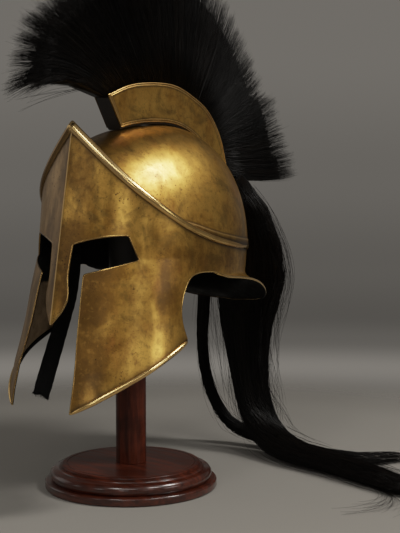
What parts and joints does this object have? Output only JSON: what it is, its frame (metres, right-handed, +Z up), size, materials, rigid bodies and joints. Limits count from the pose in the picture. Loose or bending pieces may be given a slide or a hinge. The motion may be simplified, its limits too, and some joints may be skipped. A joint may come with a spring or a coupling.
{
  "type": "crested bronze helmet on a wooden stand",
  "caption": "Closed-face Greek bronze helmet with a tall horsehair crest, a long hair tail and a cut chin strap, on a turned wooden display stand.",
  "frame": {"origin": "centre of the stand's underside, on the surface it stands on", "axes": "+Z up, -Y the way the helmet faces, +X the wearer's left"},
  "size_m": [0.4008, 0.4627, 0.59],
  "materials": {
    "patinated_brass": "hammered sheet, satin, mottled brown and olive patina, black paint inside",
    "polished_brass": "rubbed bright",
    "dark_mahogany": "gloss lacquer",
    "black_wood": "satin black paint",
    "black_horsehair": "coarse black horsehair",
    "black_leather": "matt black leather"
  },
  "bodies": {
    "root": {"skull_bowl": "patinated_brass", "face_guard": "patinated_brass", "neck_guard": "patinated_brass", "brow_roll": "polished_brass", "cheek_rim_left": "polished_brass", "cheek_rim_right": "polished_brass", "neck_rim": "polished_brass", "crest_core": "black_wood", "crest_plate_left": "patinated_brass", "crest_plate_right": "patinated_brass", "crest_hair": "black_horsehair", "tail_hair": "black_horsehair", "tail_lock": "black_horsehair", "chin_strap": "black_leather", "strap_rivet": "patinated_brass", "stand_base": "dark_mahogany", "stand_post": "dark_mahogany", "stand_head": "black_wood"}
  },
  "joints": []
}
